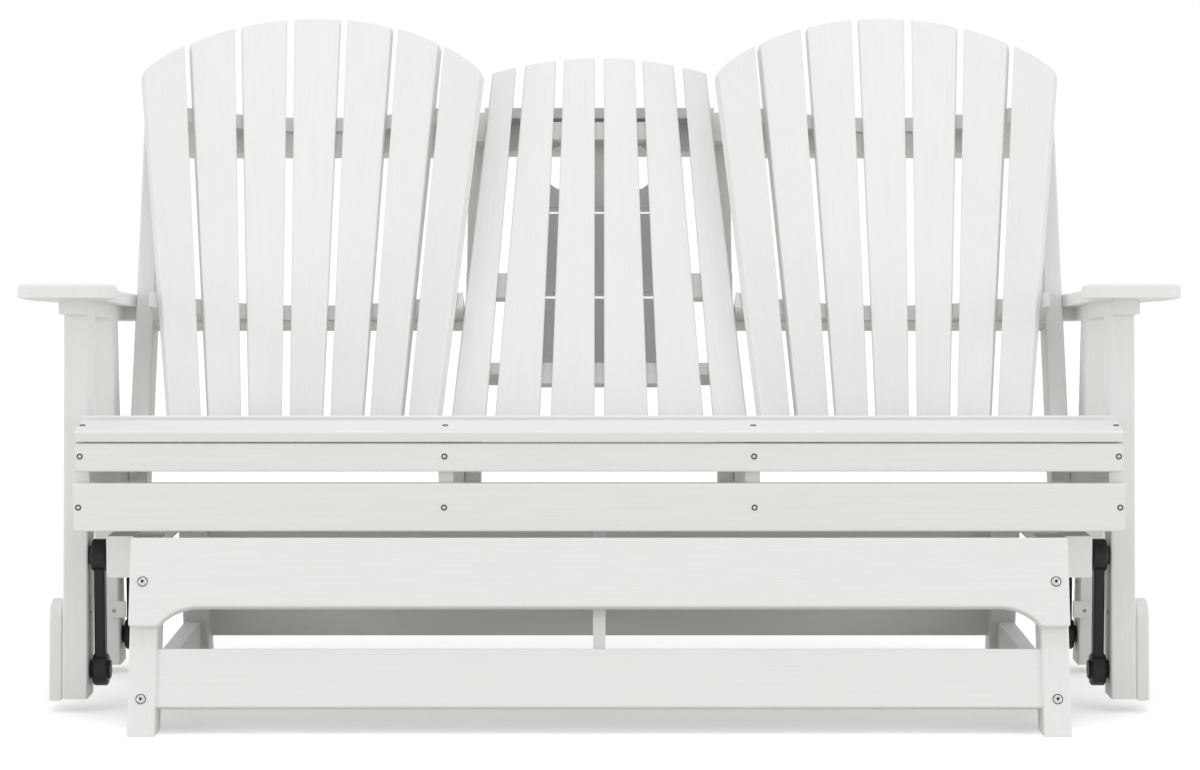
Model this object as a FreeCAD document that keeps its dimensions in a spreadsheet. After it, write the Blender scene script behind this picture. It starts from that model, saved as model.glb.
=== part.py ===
"""Glider loveseat in white plastic lumber, with a fold-down centre console.

The seat hangs on four links from a splayed base.  Two fan backs of seven slats stand either side of a
centre back whose four middle slats fold forward as a table with two cup holes.
Frame: +Z up, front towards -Y, origin on the floor under the middle of the whole object.  Millimetres.
"""
import FreeCAD, Part
import os
import re
import Sketcher

# Driving dimensions.  Distances along Y are counted from the middle of the four hanger pivots.
SIZES = {
    # general lumber
    "board": 19, "post_wide": 38, "edge_round": 3, "arm_round": 5, "nudge": 0.3, "run_gap": 0.05,
    "hub_y": 3.9,
    # base
    "leg_in": 600, "leg_deep": 64, "leg_lean": 18, "foot_front": 400, "foot_rear": 350, "leg_top": 258,
    "beam_low": 203, "beam_high": 260, "beam_front": 300, "beam_rear": 250,
    "apron_top": 270, "apron_end": 147.5, "apron_arch": 174, "arch_start": 575, "arch_end": 599,
    "arch_round": 70, "apron_corner": 4, "rear_apron_low": 190,
    "rail_low": 40, "rail_high": 121, "rail_recess": 4,
    "bar_low": 23, "bar_high": 61, "bar_wide": 24, "brace_thick": 17, "brace_low": 60, "brace_high": 240,
    # hanger links
    "pivot_half": 171, "pivot_low": 56, "pivot_high": 218, "link_thick": 21, "link_ring": 23,
    "link_bar_wide": 24, "link_bar_thick": 15, "link_bevel": 2.5, "pin_radius": 8, "pin_collar": 13,
    "pin_head": 3, "link_space": 16.5,
    # seat frame
    "post_in": 718, "seat_post_wide": 35, "post_deep": 64, "post_lean": 6, "front_post_low": 19,
    "rear_post_low": 13, "seat_half": 714, "front_half": 717.5,
    "support_thick": 20, "support_front": 303, "support_rear": 215, "support_low": 270, "support_rise": 15,
    "inner_support": 200, "nose_y": 250, "nose_z": 403, "nose_tilt": 9, "seat_slope": 7,
    "nose_wide": 67, "nose_thick": 15.5, "nose_gap": 8, "seat_slat": 56, "slat_space": 8,
    "upper_front_low": 351, "upper_front_high": 390, "front_low": 269, "front_high": 335,
    "cover_low": 17, "cover_high": 156, "cover_turn": 0.48, "cover_bevel": 2.5,
    "block_low": 87, "block_high": 111, "block_thick": 12, "block_reach": 10, "block_wide": 30,
    # arms
    "arm_front": 270, "arm_under": 586, "arm_slope": 4.6, "arm_long": 545, "arm_outer": 802,
    "arm_inner": 668, "arm_rear_outer": 768, "arm_neck": 50, "arm_taper": 150, "arm_outer_neck": 170,
    "arm_outer_taper": 330, "arm_corner": 24, "arm_sweep": 70,
    "arm_bar_high": 21, "arm_bar_start": 73, "arm_cleat_long": 55,
    # back
    "recline": 24, "back_y": 136, "back_z": 391, "stile_thick": 24, "outer_stile": 28, "stile_deep": 60,
    "stile_low": -104, "stile_high": 490, "inner_stile": 176,
    "fan_slat_low": -38, "fan_pitch": 62.8, "fan_step": 1.927, "fan_gap": 13.8, "fan_apex": 637.5,
    "fan_arc": 330, "fan_curve": 500, "fan_seat": 2,
    "brace_board": 23, "upper_brace": 457, "lower_brace": 149, "foot_brace": -50, "brace_back": 45,
    "rail_under_upper": 34.5, "rail_under_lower": 3, "brace_rail": 20,
    "upper_brace_clear": 0, "lower_brace_clear": 3, "foot_brace_clear": 22,
    "upper_brace_relief": 0, "lower_brace_relief": 0, "foot_brace_relief": 4,
    # centre back
    "centre_rail_low": 434, "centre_rail_split": 481, "centre_rail_high": 498, "centre_rail_thick": 22,
    "infill_in_top": 132, "infill_out_top": 168, "infill_in_low": 168, "infill_out_low": 218,
    "taper_top": 493, "taper_low": -15, "centre_apex": 564, "centre_arc": 530, "centre_slat_low": -30,
    "cleat_in": 126, "cleat_low": 179, "cleat_high": 218,
    # fold-down console
    "mid_in_top": 69, "mid_out_top": 118, "mid_in_low": 88, "mid_out_low": 154,
    "core_in": 7, "core_out_top": 56, "core_out_low": 72,
    "console_half": 112, "side_batten": 20, "batten_low": 437, "batten_high": 466,
    "top_low": 332.7, "top_high": 450, "middle_low": 194.8, "middle_high": 322.3, "lower_low": 76,
    "lower_high": 184.4, "cup_x": 47, "cup_u": 398, "cup_radius": 38.5,
    "hinge_u": 66, "hinge_w": -18, "hinge_low": 57, "hinge_high": 75, "hinge_back": -32,
    "hinge_front": 17.5, "hinge_half": 174,
    "foot_low": 42, "hinge_bolt": 5, "hinge_reach": 26, "bolt_head": 8, "head_thick": 3,
}

doc = FreeCAD.newDocument("glider_loveseat")
sheet = doc.addObject("Spreadsheet::Sheet", "sizes")
for row, (alias, size) in enumerate(SIZES.items(), start=1):
    sheet.set(f"A{row}", alias)
    sheet.set(f"B{row}", str(size))
    sheet.setAlias(f"B{row}", alias)
doc.recompute()

NODES = []


def cells(text):
    """Write an expression with every size read from its cell of the sheet."""
    def cell(word):
        return f"sizes.{word[0]}" if word[0] in SIZES else word[0]
    return re.sub(r"[a-z][a-z_0-9]*", cell, str(text))


def value(text):
    """The number that an expression gives now."""
    return float(sheet.evalExpression(cells(text)))


def spin(axis, angle):
    vector = {"x": "1; 0; 0", "y": "0; 1; 0", "z": "0; 0; 1"}[axis]
    return f"rotation(vector({vector}); {angle})"


def frame(x, y, z, *spins):
    """A place and the turns made there, as an expression."""
    turns = " * ".join(spin(axis, angle) for axis, angle in spins) or spin("z", "0")
    return f"placement(vector({x}; {y}; {z}); {turns})"


# Working planes.  In the leaning ones Y runs up the board and Z points out of its face.
PLAN = frame("0", "hub_y", "0")
SIDE = frame("0", "hub_y", "0", ("z", "90"), ("x", "90"))
FRONT = frame("0", "hub_y - foot_front", "0", ("x", "90 - leg_lean"))
REAR = frame("0", "hub_y + foot_rear", "0", ("z", "180"), ("x", "90 - leg_lean"))
BACK = frame("0", "hub_y + back_y", "back_z", ("x", "90 - recline"))
SEAT = frame("0", "hub_y - nose_y", "nose_z", ("x", "0 - seat_slope"))
NOSE = frame("0", "hub_y - nose_y", "nose_z", ("x", "nose_tilt"))
ARM = frame("0", "hub_y - arm_front", "arm_under", ("x", "0 - arm_slope"))
SIDES = (("left", -1), ("right", 1))


def keep(item, label):
    """Give a finished sub-part its name."""
    item.Label = label
    NODES.append(item)
    return item


def group(label, members):
    """Like pieces that share one node."""
    item = doc.addObject("Part::Compound", label)
    item.Links = members
    return keep(item, label)


def mirrored(side, low, high):
    """A range on X on the left or the right of the middle."""
    return (low, high) if side > 0 else (f"0 - ({high})", f"0 - ({low})")


def new_body(name, where):
    body = doc.addObject("PartDesign::Body", name)
    body.setExpression("Placement", cells(where))
    return body


def soften(body, base, chosen, size, kind="Fillet"):
    """Round or chamfer the chosen edges of the last feature."""
    doc.recompute()
    names = [f"Edge{n}" for n, edge in enumerate(base.Shape.Edges, start=1) if chosen(edge)]
    softened = body.newObject(f"PartDesign::{kind}", f"{body.Name}_{kind}")
    softened.Base = (base, names)
    softened.setExpression({"Fillet": "Radius", "Chamfer": "Size"}[kind], cells(size))
    return softened


def full_circles(radius):
    """Choose the whole circles of one radius."""
    return lambda edge: edge.isClosed() and abs(edge.Curve.Radius - value(radius)) < 0.01


def level(edge):
    """Choose the edges that lie flat in a board's own plane."""
    return abs(edge.BoundBox.ZMax - edge.BoundBox.ZMin) < 0.01


def runs_along(axis):
    """Choose the straight edges that run mostly along one axis."""
    def chosen(edge):
        step = edge.Vertexes[-1].Point - edge.Vertexes[0].Point
        return abs(step[axis]) > 0.9 * step.Length > 0
    return chosen


def block(name, x, y, z, where, x2=None, along=None, radius="edge_round"):
    """A board: X, Y and Z ranges, with another X range at its far Y end where it tapers or leans."""
    body = new_body(name, where)
    core = body.newObject("PartDesign::AdditiveWedge", f"{name}_stock")
    x2 = x2 or x
    bounds = {"Xmin": x[0], "Xmax": x[1], "Ymin": y[0], "Ymax": y[1], "Zmin": z[0], "Zmax": z[1],
              "X2min": x2[0], "X2max": x2[1], "Z2min": z[0], "Z2max": z[1]}
    for bound, size in bounds.items():
        core.setExpression(bound, cells(size))
    if along is not None:
        soften(body, core, runs_along(along), radius)
    return body


def panel(name, points, thick, where, rounds=(), rim=None):
    """A board sawn to an outline: its corners, those that are rounded, and the rounding of its upper rim."""
    body = new_body(name, where)
    sketch = body.newObject("Sketcher::SketchObject", f"{name}_outline")
    plane = next(item for item in body.Origin.OriginFeatures if item.Role == "XY_Plane")
    sketch.AttachmentSupport = (plane, [""])
    sketch.MapMode = "FlatFace"
    corners = [FreeCAD.Vector(value(x), value(y), 0) for x, y in points]
    count = len(corners)
    for n in range(count):
        sketch.addGeometry(Part.LineSegment(corners[n], corners[(n + 1) % count]))
    for n in range(count):
        sketch.addConstraint(Sketcher.Constraint("Coincident", n, 2, (n + 1) % count, 1))
    for n, (x, y) in enumerate(points):
        for kind, size in (("DistanceX", x), ("DistanceY", y)):
            index = sketch.addConstraint(Sketcher.Constraint(kind, -1, 1, n, 1, value(size)))
            sketch.setExpression(f"Constraints[{index}]", cells(size))
    pad = body.newObject("PartDesign::Pad", f"{name}_pad")
    pad.Profile = sketch
    pad.setExpression("Length", cells(thick))
    last = pad
    for radius, numbers in rounds:
        spots = [corners[n] for n in numbers]

        def at_corner(edge, spots=spots):
            ends = [vertex.Point for vertex in edge.Vertexes]
            upright = len(ends) == 2 and abs(ends[1].z - ends[0].z) > 1
            return upright and any(abs(ends[0].x - p.x) + abs(ends[0].y - p.y) < 0.01 for p in spots)
        last = soften(body, last, at_corner, radius)
    if rim:
        def on_rim(edge):
            return level(edge) and edge.BoundBox.ZMin > 1
        soften(body, last, on_rim, rim)
    return body


def cylinder(body, adding, radius, length, start, axis="z"):
    """Add or bore a cylinder in a body, from a start point along an axis."""
    kind = "PartDesign::AdditiveCylinder" if adding else "PartDesign::SubtractiveCylinder"
    tool = body.newObject(kind, f"{body.Name}_round_stock")
    tool.setExpression("Radius", cells(radius))
    tool.setExpression("Height", cells(length))
    turn = {"z": ("z", "0"), "x": ("y", "90"), "y": ("x", "-90")}[axis]
    tool.setExpression("Placement", cells(frame(*start, turn)))
    return tool


def cut_from(name, board, cutter):
    """What is left of a shape outside another."""
    item = doc.addObject("Part::Cut", name)
    item.Base = board
    item.Tool = cutter
    return item


def round_top(name, radius, apex, x):
    """The waste above a round outline across the back, cut with a hair of draft off a row of slats."""
    centre = frame(x, f"{apex} - {radius}", "-3 * board")
    corner = frame(f"{x} - 0.9 * {radius}", f"{apex} - 0.6 * {radius}", "-2 * board")
    stock = (("Length", f"1.8 * {radius}"), ("Width", radius), ("Height", "10 * board"))
    outline = (("Radius1", radius), ("Radius2", f"{radius} + nudge"), ("Height", "12 * board"))
    parts = []
    for kind, sizes, where in (("Box", stock, corner), ("Cone", outline, centre)):
        item = doc.addObject(f"Part::{kind}", f"{name}_{kind}")
        for label, size in sizes:
            item.setExpression(label, cells(size))
        item.setExpression("Placement", cells(f"{BACK} * {where}"))
        parts.append(item)
    return cut_from(name, *parts)


# Base.  The legs are sawn level at the floor and lean in at the top.
LEG_OUT = "leg_in + post_wide"
LEG_SIDE = "leg_deep / cos(leg_lean)"
LEG_DRIFT = "leg_top * tan(leg_lean)"
for name, side in SIDES:
    leg_x = mirrored(side, "leg_in", LEG_OUT)
    for end, start, sign in (("front", "0 - foot_front", 1), ("rear", "foot_rear", -1)):
        low = (start, f"{start} + {LEG_SIDE}") if sign > 0 else (f"{start} - {LEG_SIDE}", start)
        high = tuple(f"{edge} + {sign} * {LEG_DRIFT}" for edge in low)
        leg = block(f"{end}_{name}_leg", low, ("0", "leg_top"), leg_x, SIDE, x2=high, along=1)
        keep(leg, f"{end}_{name}_leg")
    beam_x = mirrored(side, LEG_OUT, f"{LEG_OUT} + post_wide")
    beam = block(f"{name}_top_beam", beam_x, ("0 - beam_front", "beam_rear"), ("beam_low", "beam_high"), PLAN,
                 along=1)
    keep(beam, f"{name}_top_beam")
    bar = mirrored(side, f"{LEG_OUT} - bar_wide - edge_round", f"{LEG_OUT} - edge_round")
    bar_lean = "(bar_high - bar_low) * tan(leg_lean)"
    bar_front = f"0 - foot_front + {LEG_SIDE} + bar_low * tan(leg_lean)"
    bar_rear = f"foot_rear - {LEG_SIDE} - bar_low * tan(leg_lean)"
    keep(block(f"{name}_side_bar", (bar_front, bar_rear), ("bar_low", "bar_high"), bar, SIDE,
               x2=(f"{bar_front} + {bar_lean}", f"{bar_rear} - {bar_lean}")), f"{name}_side_bar")

# Aprons lie on the outer faces of the legs.  The front one is arched between its ends.
ARCH = [(f"0 - ({LEG_OUT})", "apron_end"), ("0 - arch_end", "apron_end"), ("0 - arch_start", "apron_arch"),
        ("arch_start", "apron_arch"), ("arch_end", "apron_end"), (LEG_OUT, "apron_end"),
        (LEG_OUT, "apron_top"), (f"0 - ({LEG_OUT})", "apron_top")]
apron = panel("front_apron", ARCH, "board", FRONT, rim="edge_round",
              rounds=[("arch_round", (2, 3)), ("apron_corner", (0, 1, 4, 5, 6, 7))])
keep(apron, "front_apron")
APRON_WIDE = (f"0 - ({LEG_OUT})", LEG_OUT)
rear_apron = block("rear_apron", APRON_WIDE, ("rear_apron_low", "apron_top"), ("0", "board"), REAR, along=0)
keep(rear_apron, "rear_apron")
RAIL_WIDE = ("0 - leg_in", "leg_in")
for end, where in (("front", FRONT), ("rear", REAR)):
    keep(block(f"{end}_lower_rail", RAIL_WIDE, ("rail_low", "rail_high"),
               ("0 - rail_recess - board", "0 - rail_recess"), where, along=0), f"{end}_lower_rail")
BRACE_GAP = "(rail_recess + board) / cos(leg_lean)"
brace_points = []
for height in ("brace_low", "brace_high"):
    brace_points.append((f"0 - foot_front + {BRACE_GAP} + {height} * tan(leg_lean)", height))
    brace_points.append((f"foot_rear - {BRACE_GAP} - {height} * tan(leg_lean)", height))
low_front, low_rear, high_front, high_rear = brace_points
centre_brace = block("centre_brace", (low_front[0], low_rear[0]), ("brace_low", "brace_high"),
                     ("0 - brace_thick / 2", "brace_thick / 2"), SIDE, x2=(high_front[0], high_rear[0]))
keep(centre_brace, "centre_brace")


# Hanger pivots.  Each pin has a collar against its board, a shaft in the link and a head past it.
BEAM_OUT = f"{LEG_OUT} + post_wide"
LINK_IN = f"({BEAM_OUT} + link_space)"
LINK_OUT = f"({LINK_IN} + link_thick)"


def pivot_pin(name, side, y, z, root, near, far, inward):
    """A pin from its board through one ring of a link, along X."""
    body = new_body(name, PLAN)
    stretches = [("pin_collar", root, f"{near} - {inward} * nudge"),
                 ("pin_radius", f"{near} - {inward} * nudge", f"{far} + {inward} * nudge"),
                 ("pin_collar", f"{far} + {inward} * nudge", f"{far} + {inward} * (nudge + pin_head)")]
    for radius, start, stop in stretches:
        first, second = (start, stop) if inward * side > 0 else (stop, start)
        low = f"{side} * ({first})"
        cylinder(body, True, radius, f"{side} * (({second}) - ({first}))", (low, y, z), axis="x")
    return body


upper_pins = []
lower_pins = []
for name, side in SIDES:
    for end, sign in (("front", -1), ("rear", 1)):
        y = f"{sign} * pivot_half"
        hanger = (side, y, "pivot_high", BEAM_OUT, LINK_IN, LINK_OUT, 1)
        upper_pins.append(pivot_pin(f"upper_{end}_{name}", *hanger))
        footing = (side, y, "pivot_low", "post_in", LINK_OUT, LINK_IN, -1)
        lower_pins.append(pivot_pin(f"lower_{end}_{name}", *footing))
        link = block(f"{end}_{name}_link", (f"{y} - link_bar_wide / 2", f"{y} + link_bar_wide / 2"),
                     ("pivot_low", "pivot_high"),
                     mirrored(side, f"{LINK_IN} + (link_thick - link_bar_thick) / 2",
                              f"{LINK_OUT} - (link_thick - link_bar_thick) / 2"), SIDE, along=1)
        ring_start = mirrored(side, LINK_IN, LINK_OUT)[0]
        for height in ("pivot_low", "pivot_high"):
            ring = cylinder(link, True, "link_ring", "link_thick", (y, height, ring_start))
        soften(link, ring, full_circles("link_ring"), "link_bevel", kind="Chamfer")
        for height in ("pivot_low", "pivot_high"):
            cylinder(link, False, "pin_radius + run_gap", "link_thick", (y, height, ring_start))
        keep(link, f"{end}_{name}_link")
group("upper_pivot_pins", upper_pins)
group("lower_pivot_pins", lower_pins)

# Seat side frames.  The posts lean together at the top, where the arm bar slopes down to the rear, and
# each has a round-topped cover over its foot.
POST_OUT = "post_in + seat_post_wide"
BAR_UNDER = "arm_under - arm_bar_high / cos(arm_slope) - arm_front * tan(arm_slope)"


def post_top(edge, sign):
    """Where a leaning edge of a post meets the underside of the arm bar."""
    drift = f"({sign} * tan(post_lean))"
    at_floor = f"({edge} - pivot_low * {drift})"
    rise = f"(({BAR_UNDER}) - {at_floor} * tan(arm_slope)) / (1 + {drift} * tan(arm_slope))"
    return f"{edge} + (({rise}) - pivot_low) * {drift}", rise


def post_edge(edge, sign, height):
    """Where a leaning edge of a post lies at a height."""
    return f"{edge} + ({height} - pivot_low) * {sign} * tan(post_lean)", height


for name, side in SIDES:
    start = mirrored(side, "post_in", POST_OUT)[0]
    where = f"{SIDE} * {frame('0', '0', start)}"
    covers = []
    for end, sign in (("front", 1), ("rear", -1)):
        middle = f"{-sign} * pivot_half"
        first, second = f"({middle} - post_deep / 2)", f"({middle} + post_deep / 2)"
        foot = f"{end}_post_low"
        points = [post_edge(first, sign, foot), post_edge(second, sign, foot)]
        points += [post_top(second, sign), post_top(first, sign)]
        post = panel(f"{end}_{name}_post", points, "seat_post_wide", where)
        soften(post, post.Tip, runs_along(1), "edge_round")
        keep(post, f"{end}_{name}_post")
        cover_points = [post_edge(first, sign, "cover_low"), post_edge(second, sign, "cover_low"),
                        post_edge(second, sign, "cover_high"), post_edge(first, sign, "cover_high")]
        outside = mirrored(side, POST_OUT, f"{POST_OUT} + board")[0]
        cover_place = f"{SIDE} * {frame('0', '0', outside)}"
        cover = panel(f"{end}_{name}_cover", cover_points, "board", cover_place,
                      rounds=[("cover_turn * post_deep", (2, 3))])
        soften(cover, cover.Tip, level, "cover_bevel", kind="Chamfer")
        covers.append(cover)
    group(f"{name}_post_covers", covers)

post_blocks = []
for name, side in SIDES:
    face_low = "pivot_half - post_deep / 2 - (block_low - pivot_low) * tan(post_lean)"
    face_high = "pivot_half - post_deep / 2 - (block_high - pivot_low) * tan(post_lean)"
    block_x = mirrored(side, "post_in - block_reach", "post_in - block_reach + block_wide")
    post_blocks.append(block(f"{name}_block", (f"{face_low} - block_thick", face_low),
                             ("block_low", "block_high"), block_x, SIDE,
                             x2=(f"{face_high} - block_thick", face_high)))
group("post_blocks", post_blocks)

# Seat supports: two against the posts and two under the inner stiles.
SUPPORT = [("0 - support_front", "support_low"), ("support_rear", "support_low + support_rise"),
           ("support_rear", "nose_z - (support_rear + nose_y) * tan(seat_slope)"), ("0 - nose_y", "nose_z"),
           ("0 - support_front", "nose_z - (support_front - nose_y) * tan(nose_tilt)")]
for name, side in SIDES:
    for kind, low in (("outer", "post_in - support_thick"), ("inner", "inner_support")):
        start = mirrored(side, low, f"{low} + support_thick")[0]
        keep(panel(f"{name}_{kind}_support", SUPPORT, "support_thick", f"{SIDE} * {frame('0', '0', start)}"),
             f"{name}_{kind}_support")

# Seat boards, all as long as the seat is wide over its outer supports.
SEAT_WIDE = ("0 - seat_half", "seat_half")
FRONT_WIDE = ("0 - front_half", "front_half")
FACE = ("0 - support_front - board", "0 - support_front")
keep(block("front_board", FRONT_WIDE, FACE, ("front_low", "front_high"), PLAN, along=0), "front_board")
keep(block("upper_front_board", SEAT_WIDE, FACE, ("upper_front_low", "upper_front_high"), PLAN, along=0),
     "upper_front_board")
nose = ("0 - nose_gap - nose_wide", "0 - nose_gap")
keep(block("nose_slat", SEAT_WIDE, nose, ("0", "nose_thick"), NOSE, along=0), "nose_slat")
SEAT_SLATS = 5
seat_slats = []
for n in range(SEAT_SLATS):
    start = f"{n} * (seat_slat + slat_space)"
    seat_slats.append(block(f"seat_slat_{n + 1}", SEAT_WIDE, (start, f"{start} + seat_slat"),
                            ("0", "board"), SEAT, along=0))
group("seat_slats", seat_slats)

# Arms: a broad paddle in front that narrows to the rear, on a bar over the posts and a cleat at the stile.
STILE_OUT = "(post_in - support_thick)"
BAR_END = "arm_long - arm_cleat_long"
arm_cleats = []
for name, side in SIDES:
    half = [("arm_outer", "0"), ("arm_inner", "0"), ("arm_inner", "arm_neck"), (STILE_OUT, "arm_taper"),
            (STILE_OUT, "arm_long"), ("arm_rear_outer", "arm_long"), ("arm_rear_outer", "arm_outer_taper"),
            ("arm_outer", "arm_outer_neck")]
    outline = [(f"{side} * {x}", y) for x, y in half]
    arm = panel(f"{name}_arm", outline, "board", ARM, rim="arm_round",
                rounds=[("arm_corner", (0, 1)), ("arm_sweep", (2, 3, 6, 7)), ("arm_round", (5,))])
    keep(arm, f"{name}_arm")
    over_post = mirrored(side, "post_in", POST_OUT)
    under_arm = ("0 - arm_bar_high", "0")
    arm_bar = block(f"{name}_arm_bar", over_post, ("arm_bar_start", BAR_END), under_arm, ARM)
    keep(arm_bar, f"{name}_arm_bar")
    to_stile = mirrored(side, STILE_OUT, POST_OUT)
    arm_cleats.append(block(f"{name}_arm_cleat", to_stile, (BAR_END, "arm_long"), under_arm, ARM))
group("arm_cleats", arm_cleats)

# Back stiles, leaning back, on the inner sides of the supports.
STILE_IN = f"({STILE_OUT} - outer_stile)"
HINGE_SPOT = ("hinge_u", "hinge_w")
for name, side in SIDES:
    outer = mirrored(side, STILE_IN, STILE_OUT)
    stile_run, stile_face = ("stile_low", "stile_high"), ("0 - stile_deep", "0")
    keep(block(f"{name}_outer_stile", outer, stile_run, stile_face, BACK, along=1), f"{name}_outer_stile")
    inner = mirrored(side, "inner_stile", "inner_stile + stile_thick")
    stile = block(f"{name}_inner_stile", inner, stile_run, stile_face, BACK, along=1)
    cylinder(stile, False, "hinge_bolt", "stile_thick", (inner[0],) + HINGE_SPOT, axis="x")
    keep(stile, f"{name}_inner_stile")

# Fan backs.  Curved braces between the stiles carry seven slats each, trimmed to one round top.
FAN_X = f"(({STILE_IN} + inner_stile + stile_thick) / 2)"
BRACE_HALF = f"(({STILE_IN} - inner_stile - stile_thick) / 2)"
FAN_FRONT = f"(fan_seat + fan_curve - sqrt(fan_curve * fan_curve - {BRACE_HALF} * {BRACE_HALF}))"
FAN_SLATS = 7


def fan_brace(name, side, low):
    """A flat board across a fan with a hollow front edge, cut short by the infill slat of the centre."""
    where = f"{BACK} * {frame(f'{side} * {FAN_X}', '0', '0')}"
    across = mirrored(side, f"{low}_clear - {BRACE_HALF}", BRACE_HALF)
    brace = block(name, across, (low, f"{low} + brace_board"), ("0 - brace_back", FAN_FRONT), where)
    hollow = ("0", low, f"fan_seat - {low}_relief + fan_curve")
    cylinder(brace, False, "fan_curve", "brace_board", hollow, axis="y")
    return brace


def slat_half(height):
    """Half the width of a fan slat at a height."""
    return f"((fan_pitch + ({height}) * tan(fan_step) - fan_gap) / 2)"


def slat_turn(n, height):
    """The angle at which a slat stands round the hollow of the braces at a height."""
    return f"({n} * (fan_pitch + ({height}) * tan(fan_step)) / fan_curve * 180 / pi)"


def slat_spot(n, height, facing):
    """Where the middle of a slat's back lies at a height: across, and forward with room for its edges."""
    turn, half = slat_turn(n, height), slat_half(height)
    room = f"{half} * {half} / (2 * fan_curve) + {half} * sin(abs({turn} - {facing})) + nudge"
    return f"(fan_curve * sin({turn}))", f"(fan_seat + fan_curve * (1 - cos({turn})) + {room})"


fan_rails = []
for name, side in SIDES:
    braces = []
    for low in ("upper_brace", "lower_brace", "foot_brace"):
        braces.append(fan_brace(f"{name}_{low}", side, low))
    rail_x = mirrored(side, "inner_stile + stile_thick", STILE_IN)
    for kind in ("upper", "lower"):
        rail_u = (f"{kind}_brace - rail_under_{kind}", f"{kind}_brace")
        fan_rails.append(block(f"{name}_{kind}_fan_rail", rail_x, rail_u, ("0 - brace_rail", "0"), BACK))
    group(f"{name}_fan_braces", braces)
    waste = round_top(f"{name}_fan_waste", "fan_arc", "fan_apex", f"{side} * {FAN_X}")
    slats = []
    for n in range(-(FAN_SLATS // 2), FAN_SLATS // 2 + 1):
        facing = slat_turn(n, "(lower_brace + upper_brace) / 2")
        low_x, low_depth = slat_spot(n, "lower_brace", facing)
        high_x, high_depth = slat_spot(n, "upper_brace", facing)
        lean = f"(({high_x} - {low_x}) / (upper_brace - lower_brace))"
        rise = f"(({high_depth} - {low_depth}) / (upper_brace - lower_brace))"
        foot_x = f"{side} * {FAN_X} + {low_x} - lower_brace * {lean}"
        foot_depth = f"{low_depth} - lower_brace * {rise}"
        turn = frame(foot_x, "0", foot_depth,
                     ("z", f"-1 * atan({lean})"), ("x", f"atan({rise})"), ("y", f"-1 * {facing}"))
        foot_half, top_half = slat_half("fan_slat_low"), slat_half("fan_apex + board")
        board = block(f"{name}_fan_stock_{n + FAN_SLATS // 2 + 1}", (f"0 - {foot_half}", foot_half),
                      ("fan_slat_low", "fan_apex + board"), ("0", "board"), f"{BACK} * {turn}",
                      x2=(f"0 - {top_half}", top_half), along=1)
        slats.append(cut_from(f"{name}_fan_slat_{n + FAN_SLATS // 2 + 1}", board, waste))
    group(f"{name}_fan_slats", slats)
group("fan_rails", fan_rails)

# Centre back: rails between the inner stiles, cleats on the stiles and an infill slat at each side.
BETWEEN = ("0 - inner_stile", "inner_stile")
centre_rails = [
    block("centre_upper_rail", BETWEEN, ("centre_rail_split", "centre_rail_high"),
          ("0 - centre_rail_thick", "0 - nudge"), BACK),
    block("centre_lower_rail", BETWEEN, ("centre_rail_low", "centre_rail_split"),
          ("0 - centre_rail_thick - board - nudge", "0 - board - nudge"), BACK)]
group("centre_rails", centre_rails)
SLAT_FACE = ("board", "2 * board")


def tapered(edge_top, edge_low, height):
    """An edge of a tapering slat at a height, from where it lies at two heights."""
    return f"({edge_low} + ({edge_top} - {edge_low}) * (({height}) - taper_low) / (taper_top - taper_low))"


centre_waste = round_top("centre_waste", "centre_arc", "centre_apex", "0")


def centre_slat(name, side, inner, outer, low):
    """A slat of the centre back, from its edges at the two measured heights, with a round top."""
    top = "centre_apex + board"
    foot = mirrored(side, tapered(*inner, low), tapered(*outer, low))
    head = mirrored(side, tapered(*inner, top), tapered(*outer, top))
    stock = block(f"{name}_stock", foot, (low, top), SLAT_FACE, BACK, x2=head, along=1)
    return cut_from(name, stock, centre_waste)


CLEAT_DEEP = ("0", "board - nudge")
infill = []
cleats = []
for name, side in SIDES:
    infill.append(centre_slat(f"{name}_infill_slat", side, ("infill_in_top", "infill_in_low"),
                              ("infill_out_top", "infill_out_low"), "centre_slat_low"))
    cleat_x = mirrored(side, "cleat_in", "inner_stile + stile_thick")
    cleats.append(block(f"{name}_cleat", cleat_x, ("cleat_low", "cleat_high"), CLEAT_DEEP, BACK))
    upper_x = mirrored(side, "cleat_in + 2 * board / 3", "inner_stile + stile_thick")
    cleats.append(block(f"{name}_upper_cleat", upper_x, ("centre_rail_low", "centre_rail_split"),
                        CLEAT_DEEP, BACK))
group("infill_slats", infill)
group("console_cleats", cleats)

# Fold-down console: four slats on battens, three table boards behind them, turning on a rail at its foot.
console_slats = []
for name, side in SIDES:
    for kind, inner, outer in (("core", ("core_in", "core_in"), ("core_out_top", "core_out_low")),
                               ("mid", ("mid_in_top", "mid_in_low"), ("mid_out_top", "mid_out_low"))):
        slat = centre_slat(f"{name}_{kind}_slat", side, inner, outer, "centre_slat_low")
        console_slats.append(slat)
group("console_slats", console_slats)
CONSOLE_WIDE = ("0 - console_half", "console_half")
BEHIND = ("nudge", "board")
battens = [block("console_top_batten", CONSOLE_WIDE, ("batten_low", "batten_high"), BEHIND, BACK),
           block("console_foot_batten", CONSOLE_WIDE, ("foot_low", "hinge_low"), BEHIND, BACK)]
for name, side in SIDES:
    at_side = mirrored(side, "console_half - side_batten", "console_half")
    battens.append(block(f"{name}_side_batten", at_side, ("hinge_high", "batten_low"), BEHIND, BACK))
group("console_battens", battens)
RECESSED = ("nudge - board", "nudge")
cup_board = block("console_cup_board", CONSOLE_WIDE, ("top_low", "top_high"), RECESSED, BACK)
for name, side in SIDES:
    cylinder(cup_board, False, "cup_radius", "2 * board", (f"{side} * cup_x", "cup_u", "-1.5 * board"))
keep(cup_board, "console_cup_board")
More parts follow.
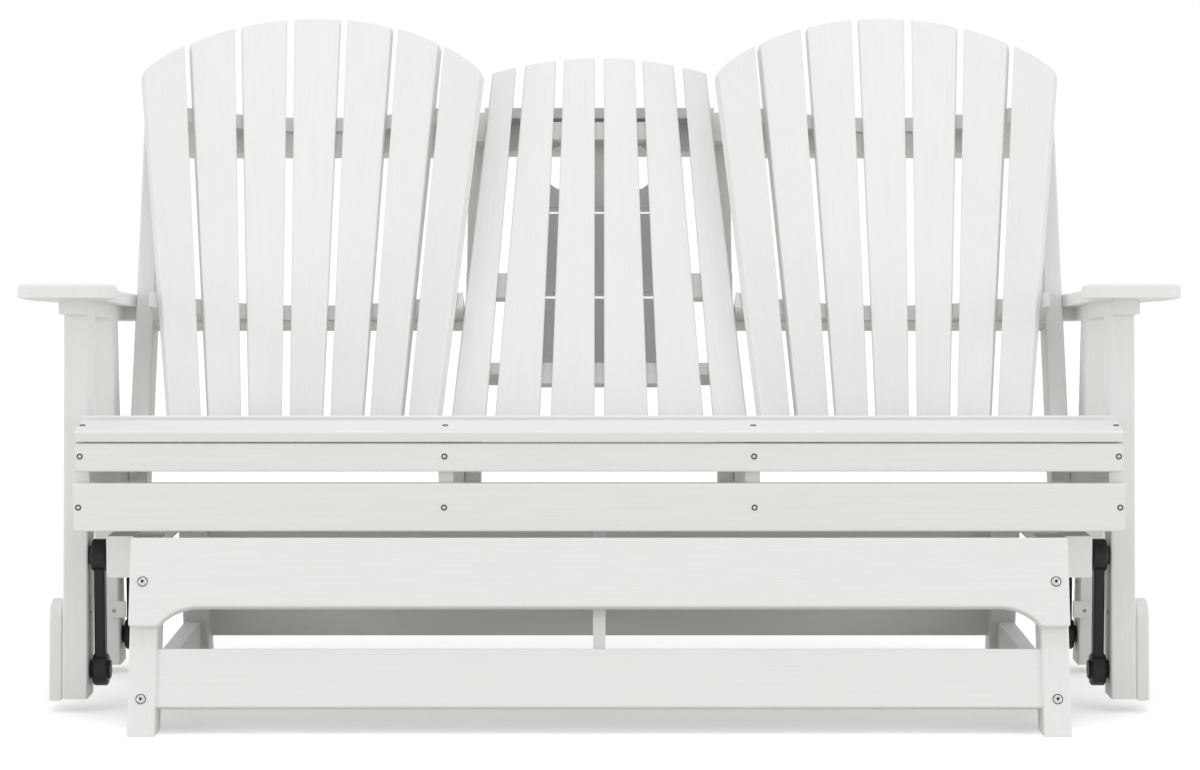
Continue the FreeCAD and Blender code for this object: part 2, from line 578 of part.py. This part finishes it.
table_boards = [block("console_middle_board", CONSOLE_WIDE, ("middle_low", "middle_high"), RECESSED, BACK),
                block("console_lower_board", CONSOLE_WIDE, ("lower_low", "lower_high"), RECESSED, BACK)]
group("console_table_boards", table_boards)
hinge_rail = block("console_hinge_rail", ("0 - hinge_half", "hinge_half"), ("hinge_low", "hinge_high"),
                   ("hinge_back", "hinge_front"), BACK)
BOLT_END = "(inner_stile - hinge_reach)"
for name, side in SIDES:
    bore = mirrored(side, f"{BOLT_END} - nudge", "hinge_half")
    cylinder(hinge_rail, False, "hinge_bolt + run_gap", f"hinge_half - {BOLT_END} + nudge",
             (bore[0],) + HINGE_SPOT, axis="x")
keep(hinge_rail, "console_hinge_rail")
hinge_bolts = []
for name, side in SIDES:
    body = new_body(f"{name}_hinge_bolt", BACK)
    shank = mirrored(side, BOLT_END, "inner_stile + stile_thick")
    cylinder(body, True, "hinge_bolt", f"inner_stile + stile_thick - {BOLT_END}",
             (shank[0],) + HINGE_SPOT, axis="x")
    head = mirrored(side, "inner_stile + stile_thick", "inner_stile + stile_thick + head_thick")
    cylinder(body, True, "bolt_head", "head_thick", (head[0],) + HINGE_SPOT, axis="x")
    hinge_bolts.append(body)
group("hinge_bolts", hinge_bolts)

# Write the sub-parts, once every one of them is sound.
doc.recompute()
for item in doc.Objects:
    if {"Invalid", "Error"} & set(item.State):
        raise RuntimeError(f"{item.Label} did not build: {item.State}")
for item in NODES:
    if item.Shape.isNull() or not item.Shape.isValid() or not item.Shape.Solids:
        raise RuntimeError(f"{item.Label} has no sound shape")
os.makedirs("parts", exist_ok=True)
for item in NODES:
    item.Shape.exportStep(f"parts/{item.Label}.step")
whole = Part.makeCompound([item.Shape for item in NODES]).BoundBox
print(f"{len(NODES)} sub-parts, {whole.XLength:.1f} x {whole.YLength:.1f} x {whole.ZLength:.1f} mm")
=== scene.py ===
"""Glider loveseat in white plastic lumber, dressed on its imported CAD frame."""
import math

import bmesh
import bpy
from mathutils import Matrix, Vector


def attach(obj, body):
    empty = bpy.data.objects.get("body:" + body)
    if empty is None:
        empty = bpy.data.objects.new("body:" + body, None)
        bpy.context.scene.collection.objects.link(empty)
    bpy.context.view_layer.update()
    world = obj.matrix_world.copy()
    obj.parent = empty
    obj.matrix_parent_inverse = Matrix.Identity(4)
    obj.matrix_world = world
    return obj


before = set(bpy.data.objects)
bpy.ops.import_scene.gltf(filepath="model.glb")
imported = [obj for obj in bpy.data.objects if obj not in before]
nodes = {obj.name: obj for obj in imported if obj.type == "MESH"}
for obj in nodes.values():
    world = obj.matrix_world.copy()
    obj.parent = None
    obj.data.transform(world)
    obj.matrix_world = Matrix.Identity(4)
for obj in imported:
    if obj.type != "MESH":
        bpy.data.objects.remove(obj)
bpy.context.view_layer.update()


# Base frame: splayed legs, beams, aprons and rails of white extruded plastic lumber.
# The lumber is embossed with a fine wood grain along each board, screwed and bolted together, unpainted.
LUMBER_WHITE = (0.826, 0.826, 0.817, 1)
LUMBER_SHADE = (0.766, 0.766, 0.754, 1)


def link(tree, *pairs):
    """Join sockets two by two."""
    for start, end in pairs:
        tree.links.new(start, end)


def math_node(tree, operation, first, second=None):
    """One sum, from sockets or numbers."""
    node = tree.nodes.new("ShaderNodeMath")
    node.operation = operation
    for number, entry in enumerate((first, second)):
        if isinstance(entry, (int, float)):
            node.inputs[number].default_value = entry
        elif entry is not None:
            tree.links.new(entry, node.inputs[number])
    return node.outputs[0]


def embossed_grain():
    """Shared effect: the grain pressed into the lumber, running along Y of the point given."""
    tree = bpy.data.node_groups.new("embossed_grain", "ShaderNodeTree")
    tree.interface.new_socket("Grain Point", in_out="INPUT", socket_type="NodeSocketVector")
    tree.interface.new_socket("Light Tone", in_out="INPUT", socket_type="NodeSocketColor")
    tree.interface.new_socket("Deep Tone", in_out="INPUT", socket_type="NodeSocketColor")
    tree.interface.new_socket("Color", in_out="OUTPUT", socket_type="NodeSocketColor")
    tree.interface.new_socket("Roughness", in_out="OUTPUT", socket_type="NodeSocketFloat")
    tree.interface.new_socket("Height", in_out="OUTPUT", socket_type="NodeSocketFloat")
    given = tree.nodes.new("NodeGroupInput")
    result = tree.nodes.new("NodeGroupOutput")

    def fibres(across, along, detail):
        """Noise drawn out along the grain, with so many waves to a metre each way."""
        stretch = tree.nodes.new("ShaderNodeMapping")
        stretch.inputs["Scale"].default_value = (across, along, across)
        noise = tree.nodes.new("ShaderNodeTexNoise")
        noise.inputs["Scale"].default_value = 1
        noise.inputs["Detail"].default_value = detail
        noise.inputs["Roughness"].default_value = 0.6
        link(tree, (given.outputs["Grain Point"], stretch.inputs["Vector"]),
             (stretch.outputs[0], noise.inputs["Vector"]))
        return noise.outputs[0]

    fine = fibres(620, 9, 3)
    broad = fibres(95, 2.2, 2)
    cloud = fibres(9, 5, 2)
    pores = tree.nodes.new("ShaderNodeMapRange")
    pores.inputs["From Min"].default_value = 0.30
    pores.inputs["From Max"].default_value = 0.62
    link(tree, (fine, pores.inputs["Value"]))

    def blend(first, second, share):
        """The first value with a share of the second."""
        return math_node(tree, "ADD", math_node(tree, "MULTIPLY", first, 1 - share),
                         math_node(tree, "MULTIPLY", second, share))

    height = blend(pores.outputs[0], broad, 0.35)
    depth = blend(height, cloud, 0.3)
    tone = tree.nodes.new("ShaderNodeMix")
    tone.data_type = "RGBA"
    link(tree, (depth, tone.inputs["Factor"]), (given.outputs["Deep Tone"], tone.inputs["A"]),
         (given.outputs["Light Tone"], tone.inputs["B"]), (tone.outputs["Result"], result.inputs["Color"]))
    deep_roughness = 0.62
    polish = math_node(tree, "MULTIPLY", depth, 0.2)
    rough = math_node(tree, "SUBTRACT", deep_roughness, polish)
    link(tree, (rough, result.inputs["Roughness"]), (height, result.inputs["Height"]))
    return tree


GRAIN = embossed_grain()


def lumber(name, turn, fan=None):
    """White lumber whose grain runs along one board direction, or spreads with the slats of a fan."""
    material = bpy.data.materials.new(name)
    material.use_nodes = True
    tree = material.node_tree
    shader = tree.nodes["Principled BSDF"]
    place = tree.nodes.new("ShaderNodeTexCoord")
    board = tree.nodes.new("ShaderNodeMapping")
    board.vector_type = "TEXTURE"
    board.inputs["Rotation"].default_value = [math.radians(angle) for angle in turn]
    link(tree, (place.outputs["Object"], board.inputs["Vector"]))
    point = board.outputs[0]
    if fan:
        middle, foot, spread = fan
        board.inputs["Location"].default_value = foot
        parts = tree.nodes.new("ShaderNodeSeparateXYZ")
        join = tree.nodes.new("ShaderNodeCombineXYZ")
        grow = math_node(tree, "ADD", math_node(tree, "MULTIPLY", parts.outputs["Y"], spread), 1)
        offset = math_node(tree, "SUBTRACT", parts.outputs["X"], middle)
        across = math_node(tree, "DIVIDE", offset, grow)
        link(tree, (point, parts.inputs[0]), (across, join.inputs["X"]),
             (parts.outputs["Y"], join.inputs["Y"]), (parts.outputs["Z"], join.inputs["Z"]))
        point = join.outputs[0]
    grain = tree.nodes.new("ShaderNodeGroup")
    grain.node_tree = GRAIN
    grain.inputs["Light Tone"].default_value = LUMBER_WHITE
    grain.inputs["Deep Tone"].default_value = LUMBER_SHADE
    bump = tree.nodes.new("ShaderNodeBump")
    bump.inputs["Strength"].default_value = 0.22
    bump.inputs["Distance"].default_value = 0.0006
    shader.inputs["Specular IOR Level"].default_value = 0.4
    link(tree, (point, grain.inputs["Grain Point"]),
         (grain.outputs["Color"], shader.inputs["Base Color"]),
         (grain.outputs["Roughness"], shader.inputs["Roughness"]),
         (grain.outputs["Height"], bump.inputs["Height"]),
         (bump.outputs["Normal"], shader.inputs["Normal"]))
    return material


def dress(names, material):
    """Give CAD pieces their finish."""
    for name in names:
        mesh = nodes[name].data
        mesh.materials.clear()
        mesh.materials.append(material)


UPRIGHT = 90
LEG_LEAN = 18
ACROSS = lumber("lumber_across", (0, 0, -90))
DEEP = lumber("lumber_front_to_back", (0, 0, 0))
dress(["front_left_leg", "front_right_leg"], lumber("lumber_front_leg", (UPRIGHT - LEG_LEAN, 0, 0)))
dress(["rear_left_leg", "rear_right_leg"], lumber("lumber_rear_leg", (UPRIGHT + LEG_LEAN, 0, 0)))
dress(["left_top_beam", "right_top_beam", "left_side_bar", "right_side_bar", "centre_brace"], DEEP)
dress(["front_apron", "rear_apron", "front_lower_rail", "rear_lower_rail"], ACROSS)


# Bolts of the base: round stainless heads with a six-lobed drive, through the aprons and the legs.
# Each head is turned and dished round its rim, and stands on the face of its board; the dished rim and the
# drive's recess are painted near-black as shade.
HUB_Y = 0.0039              # the middle of the four hangers
FRONT_FOOT = HUB_Y - 0.400
REAR_FOOT = HUB_Y + 0.350
BOLT_X = 0.620
APRON_BOLT = 0.209          # along the leg from the floor
LEG_BOLT = 0.051
APRON_THICK = 0.019


def steel(name, colour, rough, metal=1):
    """Turned steel, bright, or near-black and matt as painted shade, with a fine uneven sheen."""
    material = bpy.data.materials.new(name)
    material.use_nodes = True
    tree = material.node_tree
    shader = tree.nodes["Principled BSDF"]
    place = tree.nodes.new("ShaderNodeTexCoord")
    noise = tree.nodes.new("ShaderNodeTexNoise")
    noise.inputs["Scale"].default_value = 1400
    noise.inputs["Detail"].default_value = 2
    spread = tree.nodes.new("ShaderNodeMapRange")
    spread.inputs["To Min"].default_value = rough - 0.08
    spread.inputs["To Max"].default_value = rough + 0.1
    shader.inputs["Base Color"].default_value = colour
    shader.inputs["Metallic"].default_value = metal
    link(tree, (place.outputs["Object"], noise.inputs["Vector"]),
         (noise.outputs[0], spread.inputs["Value"]), (spread.outputs[0], shader.inputs["Roughness"]))
    return material


def fastener_heads(name, spots, radius, rise, body, head, drive, sunk=False):
    """Turned heads at points with outward directions, each with a six-lobed drive; the dished seat round
    each head and the drive's recess are painted near-black as shade.
    """
    around = 36
    lobe_count = 6
    lobe_depth = 0.23
    drive_floor = 0.35
    # the turned outline, rim to top: shares of the radius and of the rise
    crown = 1.0
    dish = [(1.0, 0.0), (1.0, 0.14), (1.04 * head, 0.06)]
    if sunk:
        crown = 0.5
        dish = [(1.0, 0.0), (0.97, 0.9), (0.88, 1.0), (1.04 * head, 0.14)]
    dome = [(head, 0.4 * crown), (0.93 * head, 0.7 * crown), (0.8 * head, 0.9 * crown),
            (0.6 * head, crown)]
    angles = [math.tau * step / around for step in range(around)]
    rings = [[(reach, height)] * around for reach, height in dish + dome]
    for height in (crown, drive_floor * crown):
        rings.append([(head * drive * (1 + lobe_depth * math.cos(lobe_count * angle)), height)
                      for angle in angles])
    mesh = bmesh.new()
    for spot, outward in spots:
        turn = Vector((0, 0, 1)).rotation_difference(Vector(outward)).to_matrix().to_4x4()
        seated = Matrix.Translation(spot) @ turn
        loops = []
        for ring in rings:
            loop = []
            for angle, (reach, height) in zip(angles, ring):
                out = reach * radius
                point = Vector((out * math.cos(angle), out * math.sin(angle), height * rise))
                loop.append(mesh.verts.new(seated @ point))
            loops.append(loop)
        drive_wall = len(loops) - 2
        for number, (low, high) in enumerate(zip(loops, loops[1:])):
            # the bands of the dished seat, the drive's wall and its floor take the second slot,
            # near-black: painted shade
            dark = number < len(dish) - 1 or number == drive_wall
            for step in range(around):
                after = (step + 1) % around
                face = mesh.faces.new((low[step], low[after], high[after], high[step]))
                face.material_index = int(dark)
        mesh.faces.new(loops[-1]).material_index = 1
        mesh.faces.new(list(reversed(loops[0]))).material_index = 1
    data = bpy.data.meshes.new(name)
    mesh.to_mesh(data)
    mesh.free()
    for face in data.polygons:
        face.use_smooth = len(face.vertices) == 4
    data.materials.append(STAINLESS)
    data.materials.append(PAINTED_RECESS_SHADE)
    piece = bpy.data.objects.new(name, data)
    bpy.context.scene.collection.objects.link(piece)
    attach(piece, body)


STAINLESS = steel("stainless_satin", (0.56, 0.56, 0.55, 1), 0.34)
# Near-black and matt: painted shade in the dished seats round the heads and in their drive recesses.
PAINTED_RECESS_SHADE = steel("painted_recess_shade", (0.022, 0.022, 0.022, 1), 0.7, metal=0)
slope = math.radians(LEG_LEAN)
base_spots = []
for x in (-BOLT_X, BOLT_X):
    for along, out in ((APRON_BOLT, APRON_THICK), (LEG_BOLT, 0)):
        drift = along * math.sin(slope) - out * math.cos(slope)
        height = along * math.cos(slope) + out * math.sin(slope)
        base_spots.append(((x, FRONT_FOOT + drift, height), (0, -math.cos(slope), math.sin(slope))))
        base_spots.append(((x, REAR_FOOT - drift, height), (0, math.cos(slope), math.sin(slope))))
fastener_heads("base_bolt_heads", base_spots, 0.0070, 0.0030, "base", head=0.84, drive=0.36)


# Hanger links: four black mouldings with a ring at each end, hung on black bushed pins.
# They carry the whole seat from the base's beams, and have the faint bloom of moulded nylon.
def nylon(name, colour):
    """Black moulding, mottled very finely in tone and gloss."""
    material = bpy.data.materials.new(name)
    material.use_nodes = True
    tree = material.node_tree
    shader = tree.nodes["Principled BSDF"]
    place = tree.nodes.new("ShaderNodeTexCoord")
    noise = tree.nodes.new("ShaderNodeTexNoise")
    noise.inputs["Scale"].default_value = 900
    noise.inputs["Detail"].default_value = 3
    tone = tree.nodes.new("ShaderNodeMix")
    tone.data_type = "RGBA"
    tone.inputs["A"].default_value = colour
    bloom = 1.5
    tone.inputs["B"].default_value = [bloom * part for part in colour[:3]] + [1]
    spread = tree.nodes.new("ShaderNodeMapRange")
    spread.inputs["To Min"].default_value = 0.34
    spread.inputs["To Max"].default_value = 0.50
    shader.inputs["Specular IOR Level"].default_value = 0.3
    bump = tree.nodes.new("ShaderNodeBump")
    bump.inputs["Strength"].default_value = 0.15
    bump.inputs["Distance"].default_value = 0.0003
    link(tree, (place.outputs["Object"], noise.inputs["Vector"]),
         (noise.outputs[0], tone.inputs["Factor"]), (tone.outputs["Result"], shader.inputs["Base Color"]),
         (noise.outputs[0], spread.inputs["Value"]), (spread.outputs[0], shader.inputs["Roughness"]),
         (noise.outputs[0], bump.inputs["Height"]), (bump.outputs["Normal"], shader.inputs["Normal"]))
    return material


dress(["front_left_link", "front_right_link", "rear_left_link", "rear_right_link"],
      nylon("black_nylon", (0.010, 0.010, 0.011, 1)))
dress(["upper_pivot_pins", "lower_pivot_pins"], nylon("black_bush", (0.007, 0.007, 0.008, 1)))


# Seat side frames: leaning posts, round-topped covers at their feet and the supports under the seat.
# Sawn from the same lumber; a small block on each rear post keeps the seat from gliding too far.
# Small screws hold the blocks, and the covers from inside the posts.
POST_LEAN = 6
POST_FACE = 0.718           # the posts' inner faces, from the middle
COVER_SCREW_Y = 0.162
COVER_SCREW_Z = 0.136
BLOCK_SCREW = (0.7243, 0.1265, 0.0975)
dress(["front_left_post", "front_right_post"], lumber("lumber_front_post", (UPRIGHT - POST_LEAN, 0, 0)))
dress(["rear_left_post", "rear_right_post", "post_blocks"],
      lumber("lumber_rear_post", (UPRIGHT + POST_LEAN, 0, 0)))
dress(["left_outer_support", "right_outer_support", "left_inner_support", "right_inner_support"], DEEP)
dress(["left_post_covers", "right_post_covers"], lumber("lumber_upright", (UPRIGHT, 0, 0)))
slope = math.radians(POST_LEAN)
frame_spots = []
for side in (-1, 1):
    x, y, z = BLOCK_SCREW
    frame_spots.append(((side * x, y, z), (0, -math.cos(slope), -math.sin(slope))))
    for y in (HUB_Y - COVER_SCREW_Y, HUB_Y + COVER_SCREW_Y):
        frame_spots.append(((side * POST_FACE, y, COVER_SCREW_Z), (-side, 0, 0)))
fastener_heads("frame_screw_heads", frame_spots, 0.0026, 0.0005, "seat", head=0.54, drive=0.2, sunk=True)


# Seat boards: front board, upper front board, nose slat and five more slats, all across the seat.
# Stainless screws with small dished heads hold each one on the four supports.
dress(["front_board", "upper_front_board", "nose_slat", "seat_slats"], ACROSS)
SUPPORTS_X = (-0.708, -0.211, 0.211, 0.708)
FRONT_FACE = HUB_Y - 0.322
UPPER_SCREW_Z = 0.372
LOWER_SCREW_Z = 0.302
LOWER_SPREAD = 1.004        # the lower row stands slightly wider
NOSE_Y = HUB_Y - 0.250      # the ridge between the nose slat and the other slats
NOSE_Z = 0.403
NOSE_SCREW = (9, -0.041, 0.0155)        # tilt in degrees, way from the ridge, thickness
FIRST_SLAT = 0.028          # the middle of the first slat, from the ridge
SLAT_PITCH = 0.064
SLAT_SCREWS = [(-7, FIRST_SLAT + SLAT_PITCH * number, 0.019) for number in range(5)]
seat_spots = []
for x in SUPPORTS_X:
    seat_spots.append(((x, FRONT_FACE, UPPER_SCREW_Z), (0, -1, 0)))
    seat_spots.append(((x * LOWER_SPREAD, FRONT_FACE, LOWER_SCREW_Z), (0, -1, 0)))
    for tilt, along, thick in [NOSE_SCREW] + SLAT_SCREWS:
        slope = math.radians(tilt)
        y = NOSE_Y + along * math.cos(slope) - thick * math.sin(slope)
        z = NOSE_Z + along * math.sin(slope) + thick * math.cos(slope)
        seat_spots.append(((x, y, z), (0, -math.sin(slope), math.cos(slope))))
fastener_heads("seat_screw_heads", seat_spots, 0.0041, 0.0007, "seat", head=0.54, drive=0.2, sunk=True)


# Arms: broad paddles with rounded rims, on a bar over the posts and a cleat at the back stile.
# Cut from one wide board each, with the grain from front to back.
dress(["left_arm", "right_arm", "left_arm_bar", "right_arm_bar", "arm_cleats"], DEEP)


# Back frame: four leaning stiles, curved braces and the rails under them, behind the slats.
# The braces are sawn hollow in front, so that each fan of slats is dished.
RECLINE = 24
BACK_TURN = (UPRIGHT - RECLINE, 0, 0)
dress(["left_outer_stile", "right_outer_stile", "left_inner_stile", "right_inner_stile"],
      lumber("lumber_stile", BACK_TURN))
dress(["left_fan_braces", "right_fan_braces", "fan_rails", "centre_rails", "console_cleats"], ACROSS)


# Fan slats: seven to each back, tapering to the foot, their tops sawn to one round.
# The grain follows each slat, so it spreads from the foot of the fan.
FAN_FOOT = (0, HUB_Y + 0.136, 0.391)
FAN_MIDDLE = 0.435
FAN_PITCH = 0.0628
FAN_STEP = math.radians(1.927)
FAN_SPREAD = math.tan(FAN_STEP) / FAN_PITCH
for side, middle in (("left", -FAN_MIDDLE), ("right", FAN_MIDDLE)):
    spread_grain = lumber(f"lumber_{side}_fan", BACK_TURN, fan=(middle, FAN_FOOT, FAN_SPREAD))
    dress([f"{side}_fan_slats"], spread_grain)


# Centre back: an infill slat at each side, fixed to cleats on the inner stiles.
# Its edges lean in to the top, like those of the console's slats beside it.
CENTRE_SPREAD = -0.5
CENTRE = lumber("lumber_centre_slats", BACK_TURN, fan=(0, FAN_FOOT, CENTRE_SPREAD))
dress(["infill_slats"], CENTRE)


# Console: four slats on battens and table boards, folding forward on a rail between two hinge bolts.
# Behind the slats the top board has two round cup holes, for use when it is folded down.
dress(["console_slats"], CENTRE)
dress(["console_battens", "console_cup_board", "console_table_boards", "console_hinge_rail"], ACROSS)
dress(["hinge_bolts"], STAINLESS)


# Ground and light: a white floor with a soft shadow, an even sky, a low lamp at each side and one above.
# None of it is part of the loveseat.
FLOOR_HALF = 30
FLOOR_DROP = 0.0005
corners = [(x * FLOOR_HALF, y * FLOOR_HALF, 0) for x, y in ((-1, -1), (1, -1), (1, 1), (-1, 1))]
floor_mesh = bpy.data.meshes.new("floor")
floor_mesh.from_pydata(corners, [], [(0, 1, 2, 3)])
floor = bpy.data.objects.new("floor", floor_mesh)
floor.location.z = -FLOOR_DROP
bpy.context.scene.collection.objects.link(floor)


def looked_at(tree):
    """1 where the camera, a reflection or a see-through piece looks, 0 where only light arrives."""
    rays = tree.nodes.new("ShaderNodeLightPath")
    seen = math_node(tree, "MAXIMUM", rays.outputs["Is Camera Ray"], rays.outputs["Is Glossy Ray"])
    return math_node(tree, "MAXIMUM", seen, rays.outputs["Is Transmission Ray"])


paper = bpy.data.materials.new("white_paper")
paper.use_nodes = True
tree = paper.node_tree
tree.nodes.clear()
matte = tree.nodes.new("ShaderNodeBsdfDiffuse")
matte.inputs["Color"].default_value = (0.70, 0.70, 0.675, 1)
shadow = tree.nodes.new("ShaderNodeBsdfDiffuse")
shadow.inputs["Color"].default_value = (0.95, 0.95, 0.95, 1)
glow = tree.nodes.new("ShaderNodeEmission")
glow.inputs["Strength"].default_value = 0.30
seen = tree.nodes.new("ShaderNodeAddShader")
choose = tree.nodes.new("ShaderNodeMixShader")
out = tree.nodes.new("ShaderNodeOutputMaterial")
link(tree, (shadow.outputs[0], seen.inputs[0]), (glow.outputs[0], seen.inputs[1]),
     (looked_at(tree), choose.inputs["Fac"]), (matte.outputs[0], choose.inputs[1]),
     (seen.outputs[0], choose.inputs[2]), (choose.outputs[0], out.inputs["Surface"]))
floor_mesh.materials.append(paper)

world = bpy.data.worlds.new("studio")
bpy.context.scene.world = world
world.use_nodes = True
tree = world.node_tree
tree.nodes.clear()
sky = tree.nodes.new("ShaderNodeBackground")
sky.inputs["Color"].default_value = (1, 1, 1, 1)
sky.inputs["Strength"].default_value = 0.76
white = tree.nodes.new("ShaderNodeBackground")
white.inputs["Color"].default_value = (1, 1, 1, 1)
white.inputs["Strength"].default_value = 1
choose = tree.nodes.new("ShaderNodeMixShader")
out = tree.nodes.new("ShaderNodeOutputWorld")
link(tree, (looked_at(tree), choose.inputs["Fac"]), (sky.outputs[0], choose.inputs[1]),
     (white.outputs[0], choose.inputs[2]), (choose.outputs[0], out.inputs["Surface"]))


def lamp(name, place, aim, size, power):
    """A square soft lamp at a place, turned to a point."""
    data = bpy.data.lights.new(name, "AREA")
    data.shape = "SQUARE"
    data.size = size
    data.energy = power
    piece = bpy.data.objects.new(name, data)
    piece.location = place
    piece.rotation_euler = (Vector(aim) - Vector(place)).to_track_quat("-Z", "Y").to_euler()
    bpy.context.scene.collection.objects.link(piece)


lamp("left_lamp", place=(-4.8, -2.8, 0.9), aim=(0, 0, 0.4), size=2.4, power=64)
lamp("right_lamp", place=(4.8, -2.8, 0.9), aim=(0, 0, 0.4), size=2.4, power=64)
lamp("top_lamp", place=(0, -0.8, 4.4), aim=(0, 0, 0.5), size=3.0, power=42)


# Camera: in front of the middle, at the height of the backs, looking slightly down.
# Its place and lens are fitted to the photograph.
CAMERA_SIDE = 0.001
CAMERA_BACK = 5.171
CAMERA_HIGH = 0.8427
LOOK_DOWN = 4.3987
camera_data = bpy.data.cameras.new("camera")
camera_data.sensor_width = 36
camera_data.lens = 107.25
camera = bpy.data.objects.new("camera", camera_data)
camera.location = (CAMERA_SIDE, HUB_Y - CAMERA_BACK, CAMERA_HIGH)
camera.rotation_euler = (math.radians(UPRIGHT - LOOK_DOWN), 0, 0)
bpy.context.scene.collection.objects.link(camera)
bpy.context.scene.camera = camera
bpy.context.scene.view_settings.view_transform = "Standard"
